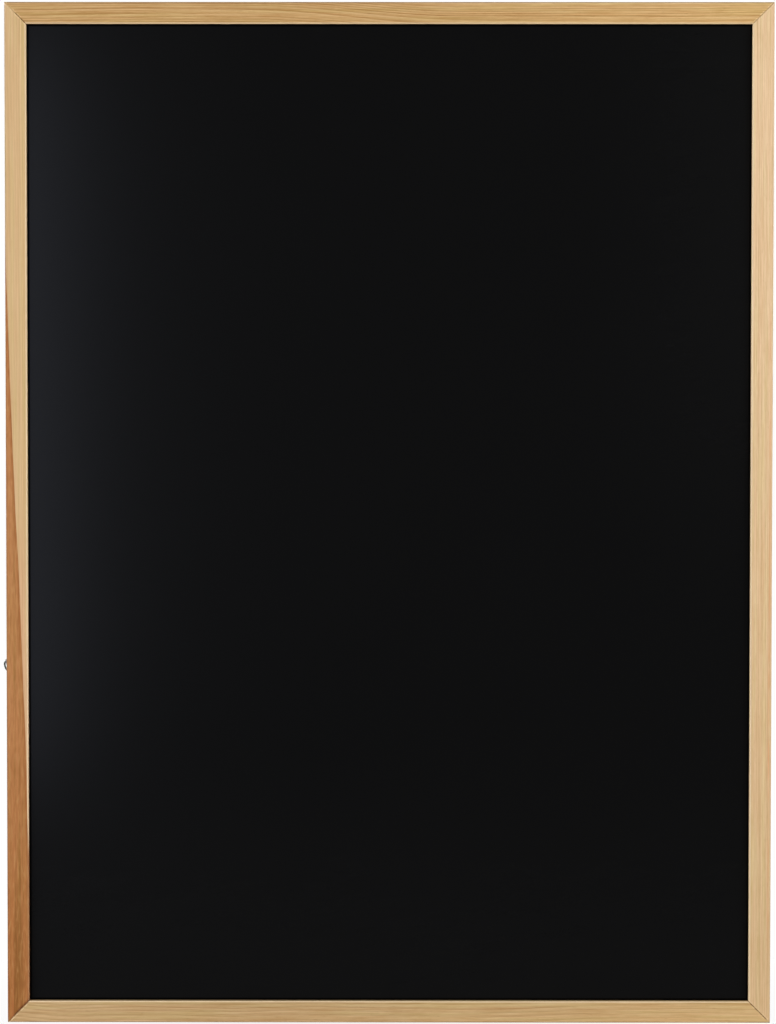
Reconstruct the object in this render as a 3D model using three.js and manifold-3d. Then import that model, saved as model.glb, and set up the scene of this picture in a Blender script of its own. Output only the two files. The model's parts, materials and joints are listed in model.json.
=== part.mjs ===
// Magnetic chalkboard for a wall: a painted steel writing sheet on a backed core, held in the rebate of a
// mitred pine frame, which hangs by a strap hanger with a D-ring near each third of its two long rails.
// Millimetres. X runs to the right, Z up and +Y towards the wall, so the writing face looks along -Y.
// The origin is midway between the two wall hooks that carry the upper rings once they are turned up.
import * as THREE from "three";
import { mergeVertices } from "three/addons/utils/BufferGeometryUtils.js";
import Module from "manifold-3d";

const wasm = await Module();
wasm.setup();

// Frame
const BOARD_WIDTH = 600;
const BOARD_HEIGHT = 800;
const RAIL_FACE = 17;
const RAIL_DEPTH = 18;
const LIP_THICKNESS = 5.5;
const LIP_COVER = 5;
const OUTER_ARRIS = 0.8;
const INNER_ARRIS = 1;
const BACK_ARRIS = 0.5;
const MITRE_GLUE = 0.1;

// Panel in the rebate, from the front: steel sheet, fibreboard core, hardboard back
const SHEET_THICKNESS = 0.5;
const CORE_THICKNESS = 6;
const BACK_THICKNESS = 2.5;
const GLUE_FILM = 0.1;
const PANEL_PLAY = 1;
const PANEL_CORNER = 1.5;
const OPEN_FACE_MARGIN = 1;

// V-nails that pull each mitre together from behind
const NAIL_INSETS = [3, 8];
const NAIL_LEG = 4.6;
const NAIL_FLANGE = 1;
const NAIL_THICKNESS = 0.5;
const NAIL_LENGTH = 7;
const NAIL_SUNK = 0.3;

// Framer's points that hold the panel in
const POINTS_PER_LONG_RAIL = 4;
const POINTS_PER_SHORT_RAIL = 3;
const POINT_WIDTH = 6;
const POINT_REACH = 8;
const POINT_BITE = 6.5;
const POINT_TIP = 3;
const POINT_BARB = 0.6;
const POINT_THICKNESS = 0.5;

// Strap hangers
const HANGER_INSET = 266;
const STRAP_WIDTH = 9.5;
const STRAP_THICKNESS = 1;
const STRAP_REACH = 16;
const EYE_CLEARANCE = 0.3;
const EYE_TAIL_GAP = 0.3;
const RING_WIRE = 1.6;
const RING_HEIGHT = 9.6;
const RING_CORNER = 1.6;
const RING_SIDE_PLAY = 0.6;
const RING_BUTT_GAP = 0.3;
const LOOSE_HANGER_TURN = 13;
const LOOSE_HANGER_RISE = 2.5;

// Hanger screws
const SCREW_LENGTH = 12;
const SCREW_SHANK = 2.8;
const SCREW_POINT = 3.5;
const SCREW_HEAD = 5.6;
const SCREW_HEAD_HEIGHT = 1.7;
const SCREW_HEAD_RIM = 0.5;
const RECESS_SPAN = 3.2;
const RECESS_SLOT = 0.7;
const RECESS_DEPTH = 1;

// Fits
const SEAT_GAP = 0.1;
const FASTENER_PLAY = 0.3;

// Smoothness of round pieces
const ARRIS_SEGMENTS = 6;
const EYE_SEGMENTS = 18;
const WIRE_SIDES = 12;
const RING_STEPS = 44;
const SCREW_SEGMENTS = 20;
const CORNER_SEGMENTS = 6;
const HEAD_SEGMENTS = 3;

// Sizes that follow from those above
const BACK_FACE = RAIL_FACE - LIP_COVER;
const WIRE_RADIUS = RING_WIRE / 2;
const EYE_RADIUS = WIRE_RADIUS + EYE_CLEARANCE;
const EYE_OUTER = EYE_RADIUS + STRAP_THICKNESS;
const RING_HALF_WIDTH = STRAP_WIDTH / 2 + RING_SIDE_PLAY + WIRE_RADIUS;
const HANGER_OFFSET = BACK_FACE / 2;
const SCREW_HOLE = SCREW_SHANK / 2 + FASTENER_PLAY;
const RING_PLANE = RAIL_DEPTH + SEAT_GAP + EYE_OUTER;
const HOOK_HEIGHT = BOARD_HEIGHT - HANGER_INSET + STRAP_REACH + RING_HEIGHT - WIRE_RADIUS;
const PANEL_WIDTH = BOARD_WIDTH - 2 * (BACK_FACE + PANEL_PLAY);
const PANEL_HEIGHT = BOARD_HEIGHT - 2 * (BACK_FACE + PANEL_PLAY);
const SHEET_FRONT = LIP_THICKNESS + SEAT_GAP;
const CORE_FRONT = SHEET_FRONT + SHEET_THICKNESS + GLUE_FILM;
const BACK_FRONT = CORE_FRONT + CORE_THICKNESS + GLUE_FILM;
const POINT_FRONT = BACK_FRONT + BACK_THICKNESS + SEAT_GAP;
// A cutter runs this far past the face it opens.
const OVERCUT = 1;
// Corners nearer together than this are one.
const SAME_POINT = 1e-4;

const RIGHT = new THREE.Vector3(1, 0, 0);
const BACK = new THREE.Vector3(0, 1, 0);
const UP = new THREE.Vector3(0, 0, 1);

const finishes = {
  pine: { color: 0xd2b084, roughness: 0.62, metalness: 0 },
  enamel: { color: 0x131314, roughness: 0.55, metalness: 0 },
  fibreboard: { color: 0xa98d68, roughness: 0.9, metalness: 0 },
  hardboard: { color: 0x6e4d33, roughness: 0.7, metalness: 0 },
  zinc: { color: 0xb4b6b3, roughness: 0.38, metalness: 1 },
  wire: { color: 0x8d918c, roughness: 0.34, metalness: 1 },
};

// Booleans

function solidOf(geometry) {
  const bare = new THREE.BufferGeometry();
  bare.setAttribute("position", geometry.getAttribute("position").clone());
  if (geometry.index) bare.setIndex(geometry.index);
  const merged = mergeVertices(bare, SAME_POINT);
  const corners = merged.index.array;
  const kept = [];
  for (let i = 0; i < corners.length; i += 3) {
    const [a, b, c] = [corners[i], corners[i + 1], corners[i + 2]];
    if (a !== b && b !== c && c !== a) kept.push(a, b, c);
  }
  return new wasm.Manifold(
    new wasm.Mesh({
      numProp: 3,
      vertProperties: new Float32Array(merged.attributes.position.array),
      triVerts: new Uint32Array(kept),
    }),
  );
}

function pieceOf(name, finish, solid) {
  const { vertProperties, triVerts } = solid.getMesh();
  const geometry = new THREE.BufferGeometry();
  geometry.setAttribute("position", new THREE.BufferAttribute(vertProperties, 3));
  geometry.setIndex(new THREE.BufferAttribute(triVerts, 1));
  geometry.computeVertexNormals();
  const mesh = new THREE.Mesh(geometry, new THREE.MeshStandardMaterial(finishes[finish]));
  mesh.name = name;
  return mesh;
}

function cutAll(solid, cutters) {
  return cutters.reduce((left, cutter) => left.subtract(cutter), solid);
}

// Extrusions

// Shape drawn in the plane of the board, X across and Z up, and thickened along Y from the given depth.
function flatSolid(shape, front, thickness, curveSegments = CORNER_SEGMENTS) {
  const geometry = new THREE.ExtrudeGeometry(shape, {
    depth: thickness,
    bevelEnabled: false,
    curveSegments,
  });
  geometry.applyMatrix4(new THREE.Matrix4().makeBasis(RIGHT, UP, BACK.clone().negate()));
  geometry.translate(0, front + thickness, 0);
  return solidOf(geometry);
}

// Shape drawn as a section, with its first axis along Z and its second along Y, run across X.
function sectionSolid(shape, width, curveSegments) {
  const geometry = new THREE.ExtrudeGeometry(shape, {
    depth: width,
    bevelEnabled: false,
    curveSegments,
  });
  geometry.translate(0, 0, -width / 2);
  geometry.applyMatrix4(new THREE.Matrix4().makeBasis(UP, BACK, RIGHT.clone().negate()));
  return solidOf(geometry);
}

function polygon(...corners) {
  return new THREE.Shape(corners.map(([x, y]) => new THREE.Vector2(x, y)));
}

function roundedRectangle(width, height, radius) {
  const [x, y] = [width / 2, height / 2];
  const shape = new THREE.Shape();
  shape.moveTo(radius - x, -y);
  shape.lineTo(x - radius, -y);
  shape.absarc(x - radius, radius - y, radius, -Math.PI / 2, 0, false);
  shape.lineTo(x, y - radius);
  shape.absarc(x - radius, y - radius, radius, 0, Math.PI / 2, false);
  shape.lineTo(radius - x, y);
  shape.absarc(radius - x, y - radius, radius, Math.PI / 2, Math.PI, false);
  shape.lineTo(-x, radius - y);
  shape.absarc(radius - x, radius - y, radius, Math.PI, 1.5 * Math.PI, false);
  return shape;
}

// Frame rails

// Section of a rail: its first axis runs inwards from the outer edge, its second from front to back. The
// front edges are rounded, the back outer edge is eased, and the rebate is open to the back.
function railSection() {
  const section = new THREE.Shape();
  section.moveTo(0, OUTER_ARRIS);
  section.absarc(OUTER_ARRIS, OUTER_ARRIS, OUTER_ARRIS, Math.PI, 1.5 * Math.PI, false);
  section.lineTo(RAIL_FACE - INNER_ARRIS, 0);
  section.absarc(RAIL_FACE - INNER_ARRIS, INNER_ARRIS, INNER_ARRIS, -Math.PI / 2, 0, false);
  section.lineTo(RAIL_FACE, LIP_THICKNESS);
  section.lineTo(BACK_FACE, LIP_THICKNESS);
  section.lineTo(BACK_FACE, RAIL_DEPTH);
  section.lineTo(BACK_ARRIS, RAIL_DEPTH);
  section.lineTo(0, RAIL_DEPTH - BACK_ARRIS);
  return section;
}

// Plan of a rail that lies along the bottom: it narrows inwards at 45 degrees, less half the glue line.
function mitrePlan(length) {
  const outer = length / 2 - MITRE_GLUE / Math.SQRT2;
  const inner = outer - RAIL_FACE - OVERCUT;
  return polygon(
    [-outer - OVERCUT, -OVERCUT],
    [outer + OVERCUT, -OVERCUT],
    [inner, RAIL_FACE + OVERCUT],
    [-inner, RAIL_FACE + OVERCUT],
  );
}

// Band of even width along a bent line, square at its ends.
function bentStrip(line, halfWidth, endGrowth) {
  const points = line.map(([x, y]) => new THREE.Vector2(x, y));
  const last = points.length - 1;
  const side = (a, b) => {
    const run = b.clone().sub(a).normalize();
    return new THREE.Vector2(-run.y, run.x);
  };
  const left = [];
  const right = [];
  points.forEach((point, i) => {
    const before = side(points[Math.max(i - 1, 0)], points[Math.max(i, 1)]);
    const after = side(points[Math.min(i, last - 1)], points[Math.min(i + 1, last)]);
    const mitre = before.clone().add(after).normalize();
    const reach = halfWidth / mitre.dot(after);
    const along = new THREE.Vector2(after.y, -after.x);
    const growth = i === 0 ? -endGrowth : i === last ? endGrowth : 0;
    const centre = point.clone().addScaledVector(along, growth);
    left.push(centre.clone().addScaledVector(mitre, reach));
    right.push(centre.clone().addScaledVector(mitre, -reach));
  });
  return new THREE.Shape([...right, ...left.reverse()]);
}

// V-nail seen from behind, or its slot when there is play: one leg along each rail from its point on the
// mitre, and a short flange turned out at the end of each leg.
function nailOutline(play) {
  const flange = NAIL_FLANGE / Math.SQRT2;
  const line = [
    [NAIL_LEG + flange, -flange],
    [NAIL_LEG, 0],
    [0, 0],
    [0, NAIL_LEG],
    [-flange, NAIL_LEG + flange],
  ];
  return bentStrip(line, NAIL_THICKNESS / 2 + play, play);
}

// Slots for the V-nails of both ends of a rail that lies along the bottom, with its outer edge at z = 0.
function nailSlots(length) {
  const front = RAIL_DEPTH - NAIL_SUNK - NAIL_LENGTH - FASTENER_PLAY;
  const slot = flatSolid(nailOutline(FASTENER_PLAY), front, RAIL_DEPTH - front + OVERCUT);
  return NAIL_INSETS.flatMap((inset) => [
    slot.translate([inset - length / 2, 0, inset]),
    slot.rotate([0, -90, 0]).translate([length / 2 - inset, 0, inset]),
  ]);
}

// Distances along a rail, from its middle, of evenly spread points.
function pointStations(length, count) {
  const pitch = (length - 2 * BACK_FACE) / count;
  return Array.from({ length: count }, (_, i) => (i - (count - 1) / 2) * pitch);
}

function pointSlots(length, count) {
  const width = POINT_WIDTH + 2 * FASTENER_PLAY;
  const bottom = BACK_FACE - POINT_BITE - FASTENER_PLAY;
  const height = BACK_FACE + OVERCUT - bottom;
  const thickness = POINT_THICKNESS + 2 * FASTENER_PLAY;
  const geometry = new THREE.BoxGeometry(width, thickness, height);
  geometry.translate(0, POINT_FRONT + POINT_THICKNESS / 2, bottom + height / 2);
  const slot = solidOf(geometry);
  return pointStations(length, count).map((station) => slot.translate([station, 0, 0]));
}

// Pilot holes for the hanger screws, at their distances along the rail.
function pilotHoles(stations) {
  const depth = SCREW_LENGTH + FASTENER_PLAY;
  const height = depth + OVERCUT;
  const geometry = new THREE.CylinderGeometry(SCREW_HOLE, SCREW_HOLE, height, SCREW_SEGMENTS);
  geometry.translate(0, RAIL_DEPTH - depth + height / 2, HANGER_OFFSET);
  const hole = solidOf(geometry);
  return stations.map((station) => hole.translate([station, 0, 0]));
}

// Rail that lies along the bottom of the board, with its outer edge at z = 0 and its middle at x = 0.
function railSolid(length, pointCount, screwStations) {
  const bar = sectionSolid(railSection(), length, ARRIS_SEGMENTS);
  const plan = flatSolid(mitrePlan(length), -OVERCUT, RAIL_DEPTH + 2 * OVERCUT);
  return cutAll(bar.intersect(plan), [
    ...nailSlots(length),
    ...pointSlots(length, pointCount),
    ...pilotHoles(screwStations),
  ]);
}

// Four sides of the frame, each a group turned so that its own up runs inwards from the outer edge.
const sides = {
  bottom: { turn: 0, length: BOARD_WIDTH, away: BOARD_HEIGHT / 2, points: POINTS_PER_SHORT_RAIL },
  left: { turn: 90, length: BOARD_HEIGHT, away: BOARD_WIDTH / 2, points: POINTS_PER_LONG_RAIL },
  top: { turn: 180, length: BOARD_WIDTH, away: BOARD_HEIGHT / 2, points: POINTS_PER_SHORT_RAIL },
  right: { turn: -90, length: BOARD_HEIGHT, away: BOARD_WIDTH / 2, points: POINTS_PER_LONG_RAIL },
};

function sideGroup({ turn, away }) {
  const seat = new THREE.Group();
  seat.position.z = -away;
  const group = new THREE.Group();
  group.rotation.y = THREE.MathUtils.degToRad(turn);
  group.add(seat);
  return { group, seat };
}

// Framer's point: a pointed, barbed end in the rail and a rounded end over the back panel.
function pointSolid() {
  const half = POINT_WIDTH / 2;
  const waist = half - POINT_BARB;
  const shoulder = POINT_TIP - POINT_BITE;
  const shape = new THREE.Shape();
  shape.moveTo(0, -POINT_BITE);
  shape.lineTo(half - POINT_BARB / 2, shoulder);
  shape.lineTo(waist - POINT_BARB / 2, shoulder);
  shape.lineTo(half, -POINT_BARB);
  shape.lineTo(half, POINT_REACH - half);
  shape.absarc(0, POINT_REACH - half, half, 0, Math.PI, false);
  shape.lineTo(-half, -POINT_BARB);
  shape.lineTo(POINT_BARB / 2 - waist, shoulder);
  shape.lineTo(POINT_BARB / 2 - half, shoulder);
  return flatSolid(shape, POINT_FRONT, POINT_THICKNESS, 2 * CORNER_SEGMENTS);
}

// Panels

const panelOutline = () => roundedRectangle(PANEL_WIDTH, PANEL_HEIGHT, PANEL_CORNER);

function panelSolid(front, thickness) {
  return flatSolid(panelOutline(), front, thickness);
}

// Steel sheet, with a split line just inside the frame round the part of its face that is open to magnets.
function sheetSolid() {
  const inset = RAIL_FACE + OPEN_FACE_MARGIN;
  const openFace = roundedRectangle(BOARD_WIDTH - 2 * inset, BOARD_HEIGHT - 2 * inset, PANEL_CORNER);
  const covered = panelOutline();
  covered.holes.push(openFace);
  const margin = flatSolid(covered, SHEET_FRONT, SHEET_THICKNESS);
  return margin.add(flatSolid(openFace, SHEET_FRONT, SHEET_THICKNESS));
}

// Strap hangers, each in its own frame: the screw's axis at the origin on the back of the rail, the strap
// running up to its eye, and Y away from the rail.

// Side of the strap: a flat bar whose end is rolled away from the rail into an eye, with its tail stopping
// just short of the bar.
function strapSection() {
  const tail = -STRAP_WIDTH / 2;
  const closing = Math.asin((EYE_OUTER - STRAP_THICKNESS - EYE_TAIL_GAP) / EYE_OUTER);
  const end = Math.PI + closing;
  const section = new THREE.Shape();
  section.moveTo(tail, 0);
  section.lineTo(STRAP_REACH, 0);
  section.absarc(STRAP_REACH, EYE_OUTER, EYE_OUTER, -Math.PI / 2, end, false);
  section.lineTo(STRAP_REACH + EYE_RADIUS * Math.cos(end), EYE_OUTER + EYE_RADIUS * Math.sin(end));
  section.absarc(STRAP_REACH, EYE_OUTER, EYE_RADIUS, end, -Math.PI / 2, true);
  section.lineTo(tail, STRAP_THICKNESS);
  return section;
}

// Plan of the strap: round about the screw, square at the eye.
function strapPlan() {
  const half = STRAP_WIDTH / 2;
  const top = STRAP_REACH + EYE_OUTER + OVERCUT;
  const shape = new THREE.Shape();
  shape.moveTo(half, 0);
  shape.lineTo(half, top);
  shape.lineTo(-half, top);
  shape.lineTo(-half, 0);
  shape.absarc(0, 0, half, Math.PI, 2 * Math.PI, false);
  return shape;
}

function strapSolid() {
  const bar = sectionSolid(strapSection(), STRAP_WIDTH, EYE_SEGMENTS);
  const plan = flatSolid(strapPlan(), -OVERCUT, 2 * (EYE_OUTER + OVERCUT), 2 * CORNER_SEGMENTS);
  const drillLength = 2 * (STRAP_THICKNESS + OVERCUT);
  const drill = new THREE.CylinderGeometry(SCREW_HOLE, SCREW_HOLE, drillLength, SCREW_SEGMENTS);
  return bar.intersect(plan).subtract(solidOf(drill)).translate([0, SEAT_GAP, 0]);
}

// Line of the ring's wire, hanging from its straight side, which starts and ends at a butt joint in the eye.
class RingLine extends THREE.Curve {
  constructor() {
    super();
    const shoulder = RING_HALF_WIDTH - RING_CORNER;
    const bow = RING_HEIGHT - RING_HALF_WIDTH;
    this.outline = new THREE.Path();
    this.outline.moveTo(RING_BUTT_GAP / 2, 0);
    this.outline.lineTo(shoulder, 0);
    this.outline.absarc(shoulder, -RING_CORNER, RING_CORNER, Math.PI / 2, 0, true);
    this.outline.lineTo(RING_HALF_WIDTH, -bow);
    this.outline.absarc(0, -bow, RING_HALF_WIDTH, 0, -Math.PI, true);
    this.outline.lineTo(-RING_HALF_WIDTH, -RING_CORNER);
    this.outline.absarc(-shoulder, -RING_CORNER, RING_CORNER, Math.PI, Math.PI / 2, true);
    this.outline.lineTo(-RING_BUTT_GAP / 2, 0);
  }

  getPoint(t, target = new THREE.Vector3()) {
    const { x, y } = this.outline.getPoint(t);
    return target.set(x, 0, y);
  }
}

function ringSolid() {
  const wireCorners = Array.from({ length: WIRE_SIDES }, (_, i) => {
    const angle = (2 * Math.PI * (i + 0.5)) / WIRE_SIDES;
    return [WIRE_RADIUS * Math.cos(angle), WIRE_RADIUS * Math.sin(angle)];
  });
  const geometry = new THREE.ExtrudeGeometry(polygon(...wireCorners), {
    steps: RING_STEPS,
    bevelEnabled: false,
    extrudePath: new RingLine(),
  });
  geometry.translate(0, SEAT_GAP + EYE_OUTER, STRAP_REACH);
  return solidOf(geometry);
}

// Pan-head wood screw with a cross recess, its head on the strap. The crown is flat as far as the recess
// reaches and rounded from there to the rim.
function screwSolid() {
  const seat = STRAP_THICKNESS + 2 * SEAT_GAP;
  const top = seat + SCREW_HEAD_HEIGHT;
  const tip = -SCREW_LENGTH;
  const shank = SCREW_SHANK / 2;
  const head = SCREW_HEAD / 2;
  const flat = RECESS_SPAN / 2;
  const rim = seat + SCREW_HEAD_RIM;
  const profile = new THREE.Path();
  profile.moveTo(0, tip);
  profile.lineTo(shank, tip + SCREW_POINT);
  profile.lineTo(shank, seat);
  profile.lineTo(head, seat);
  profile.lineTo(head, rim);
  profile.absellipse(flat, rim, head - flat, top - rim, 0, Math.PI / 2, false, 0);
  profile.lineTo(0, top);
  const turned = new THREE.LatheGeometry(profile.getPoints(HEAD_SEGMENTS), SCREW_SEGMENTS);
  const bit = new THREE.BoxGeometry(RECESS_SPAN, 2 * RECESS_DEPTH, RECESS_SLOT);
  bit.translate(0, top, 0);
  const blade = solidOf(bit);
  return solidOf(turned).subtract(blade).subtract(blade.rotate([0, 90, 0]));
}

// Assembly

const board = new THREE.Group();
board.position.set(0, -RING_PLANE, BOARD_HEIGHT / 2 - HOOK_HEIGHT);

board.add(pieceOf("writing_sheet", "enamel", sheetSolid()));
board.add(pieceOf("core_board", "fibreboard", panelSolid(CORE_FRONT, CORE_THICKNESS)));
board.add(pieceOf("back_panel", "hardboard", panelSolid(BACK_FRONT, BACK_THICKNESS)));

const framersPoint = pointSolid();
const hangerStation = BOARD_HEIGHT / 2 - HANGER_INSET;
const screwStations = {
  left: [-hangerStation, hangerStation - LOOSE_HANGER_RISE],
  right: [-hangerStation, hangerStation],
};

for (const [side, layout] of Object.entries(sides)) {
  const { group, seat } = sideGroup(layout);
  const holes = screwStations[side] ?? [];
  seat.add(pieceOf("rail_" + side, "pine", railSolid(layout.length, layout.points, holes)));
  pointStations(layout.length, layout.points).forEach((station, i) => {
    const point = pieceOf("point_" + side + "_" + (i + 1), "zinc", framersPoint);
    point.position.set(station, 0, BACK_FACE);
    seat.add(point);
  });
  board.add(group);
}

// Corners, each turned so that the legs of its V-nails run inwards along the two rails that meet there.
const nailFront = RAIL_DEPTH - NAIL_SUNK - NAIL_LENGTH;
const nail = flatSolid(nailOutline(0), nailFront, NAIL_LENGTH);
const corners = {
  bottom_left: { turn: 0, x: -1, z: -1 },
  top_left: { turn: 90, x: -1, z: 1 },
  top_right: { turn: 180, x: 1, z: 1 },
  bottom_right: { turn: -90, x: 1, z: -1 },
};
for (const [corner, { turn, x, z }] of Object.entries(corners)) {
  NAIL_INSETS.forEach((inset, i) => {
    const mesh = pieceOf("v_nail_" + corner + "_" + (i + 1), "zinc", nail);
    mesh.position.set(x * (BOARD_WIDTH / 2 - inset), 0, z * (BOARD_HEIGHT / 2 - inset));
    mesh.rotation.y = THREE.MathUtils.degToRad(turn);
    board.add(mesh);
  });
}

// Hangers: the lower left one has been screwed down by hand a little higher than its pair and turned, so its
// ring reaches past the edge of the frame.
const hangers = {
  upper_left: { x: -1, z: 1, rise: 0, turn: 0 },
  upper_right: { x: 1, z: 1, rise: 0, turn: 0 },
  lower_left: { x: -1, z: -1, rise: LOOSE_HANGER_RISE, turn: -LOOSE_HANGER_TURN },
  lower_right: { x: 1, z: -1, rise: 0, turn: 0 },
};
const strap = strapSolid();
const ring = ringSolid();
const screw = screwSolid();
for (const [place, { x, z, rise, turn }] of Object.entries(hangers)) {
  const hanger = new THREE.Group();
  hanger.position.set(x * (BOARD_WIDTH / 2 - HANGER_OFFSET), RAIL_DEPTH, z * hangerStation + rise);
  hanger.rotation.y = THREE.MathUtils.degToRad(turn);
  hanger.add(pieceOf("hanger_strap_" + place, "zinc", strap));
  hanger.add(pieceOf("hanger_ring_" + place, "wire", ring));
  hanger.add(pieceOf("hanger_screw_" + place, "zinc", screw));
  board.add(hanger);
}

const group = new THREE.Group();
group.add(board);
export default group;
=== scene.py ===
# Wall chalkboard for chalk and magnets. The pine rails, the panel and its fasteners keep their solids and get
# their finishes here; the straps, rings and screws of the hangers are modelled again with their fine shape.
import json
import math

import bmesh
import bpy
from bpy.props import FloatProperty, FloatVectorProperty, PointerProperty
from mathutils import Matrix, Vector


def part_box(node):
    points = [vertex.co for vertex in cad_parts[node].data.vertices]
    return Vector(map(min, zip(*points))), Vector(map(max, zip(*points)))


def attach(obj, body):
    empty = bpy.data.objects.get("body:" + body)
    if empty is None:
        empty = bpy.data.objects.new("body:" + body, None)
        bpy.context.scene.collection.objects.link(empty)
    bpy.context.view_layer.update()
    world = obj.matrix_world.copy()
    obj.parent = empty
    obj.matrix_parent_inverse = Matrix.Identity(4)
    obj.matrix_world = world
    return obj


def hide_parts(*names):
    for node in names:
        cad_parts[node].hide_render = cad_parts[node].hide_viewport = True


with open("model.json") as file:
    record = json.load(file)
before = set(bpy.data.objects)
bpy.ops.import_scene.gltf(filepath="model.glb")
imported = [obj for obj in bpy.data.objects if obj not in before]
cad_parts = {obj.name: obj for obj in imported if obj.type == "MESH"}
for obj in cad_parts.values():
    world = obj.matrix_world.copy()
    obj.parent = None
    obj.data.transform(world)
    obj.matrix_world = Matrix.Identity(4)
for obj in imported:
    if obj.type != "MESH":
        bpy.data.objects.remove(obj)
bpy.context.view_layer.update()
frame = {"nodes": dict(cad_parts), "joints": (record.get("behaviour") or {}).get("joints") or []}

bl_info = {
    "name": "Magnetic Chalkboard",
    "version": (1, 0, 0),
    "blender": (4, 5, 0),
    "location": "3D View > Sidebar > Chalkboard",
    "description": "Finishes a wall chalkboard's pine frame, enamelled steel sheet and strap hangers",
    "category": "Object",
}

MM = 0.001

# Places that the frame gives
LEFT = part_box("rail_left")[0].x
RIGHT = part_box("rail_right")[1].x
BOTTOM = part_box("rail_bottom")[0].z
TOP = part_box("rail_top")[1].z
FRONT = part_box("rail_bottom")[0].y
RAIL_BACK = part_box("rail_bottom")[1].y
RAIL_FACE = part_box("rail_bottom")[1].z - BOTTOM
MIDDLE = Vector(((LEFT + RIGHT) / 2, (FRONT + RAIL_BACK) / 2, (BOTTOM + TOP) / 2))

SIDES = ("left", "right", "top", "bottom")
HANGERS = ("upper_left", "upper_right", "lower_left", "lower_right")


def paint(red, green, blue):
    """Linear colour of a shade given as 0 to 255 on a screen."""

    def linear(level):
        share = level / 255
        return share / 12.92 if share <= 0.04045 else ((share + 0.055) / 1.055) ** 2.4

    return tuple(linear(level) for level in (red, green, blue))


def colour(name, description, shade):
    return FloatVectorProperty(
        name=name, description=description, default=paint(*shade), subtype="COLOR", min=0, max=1
    )


def length(name, description, millimetres):
    return FloatProperty(name=name, description=description, default=millimetres * MM, unit="LENGTH", min=0)


def power(name, description, watts):
    return FloatProperty(name=name, description=description, default=watts, unit="POWER", min=0)


def share(name, description, value):
    return FloatProperty(name=name, description=description, default=value, subtype="FACTOR", min=0, max=1)


# Finishes

# Colour sockets of a Mix node, which share their names with its sockets for numbers
MIX_FIRST, MIX_SECOND, MIX_RESULT = 6, 7, 2


class Reading:
    """A number that varies over a surface: an output of a tree's nodes, which takes part in sums."""

    def __init__(self, nodes, socket):
        self.nodes = nodes
        self.socket = socket

    def sum(self, operation, *values):
        node = self.nodes.node("ShaderNodeMath", {"operation": operation}, dict(enumerate(values)))
        return Reading(self.nodes, node.outputs[0])

    def __add__(self, other):
        return self.sum("ADD", self, other)

    def __sub__(self, other):
        return self.sum("SUBTRACT", self, other)

    def __rsub__(self, other):
        return self.sum("SUBTRACT", other, self)

    def __mul__(self, other):
        return self.sum("MULTIPLY", self, other)

    def __truediv__(self, other):
        return self.sum("DIVIDE", self, other)

    def __pow__(self, other):
        return self.sum("POWER", self, other)

    __radd__ = __add__
    __rmul__ = __mul__

    def fraction(self):
        return self.sum("FRACT", self)

    def whole(self):
        return self.sum("FLOOR", self)

    def root(self):
        return self.sum("SQRT", self)

    def least(self, other):
        return self.sum("MINIMUM", self, other)

    def most(self, other):
        return self.sum("MAXIMUM", self, other)

    def rise(self, start, end):
        """0 at start and 1 at end, with a soft step between them; end may lie below start."""
        node = self.nodes.node(
            "ShaderNodeMapRange",
            {"interpolation_type": "SMOOTHSTEP"},
            {"Value": self, "From Min": start, "From Max": end},
        )
        return Reading(self.nodes, node.outputs[0])


class Nodes:
    """A tree of shader nodes, empty at first."""

    def __init__(self, tree):
        self.tree = tree
        self.tree.nodes.clear()

    def node(self, kind, settings=None, values=None):
        """A node of a kind, with its settings and then the values or links of its sockets."""
        node = self.tree.nodes.new(kind)
        for name, setting in (settings or {}).items():
            setattr(node, name, setting)
        for key, value in (values or {}).items():
            if isinstance(value, Reading):
                value = value.socket
            if isinstance(value, bpy.types.NodeSocket):
                self.tree.links.new(value, node.inputs[key])
            else:
                node.inputs[key].default_value = value
        return node


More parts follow.
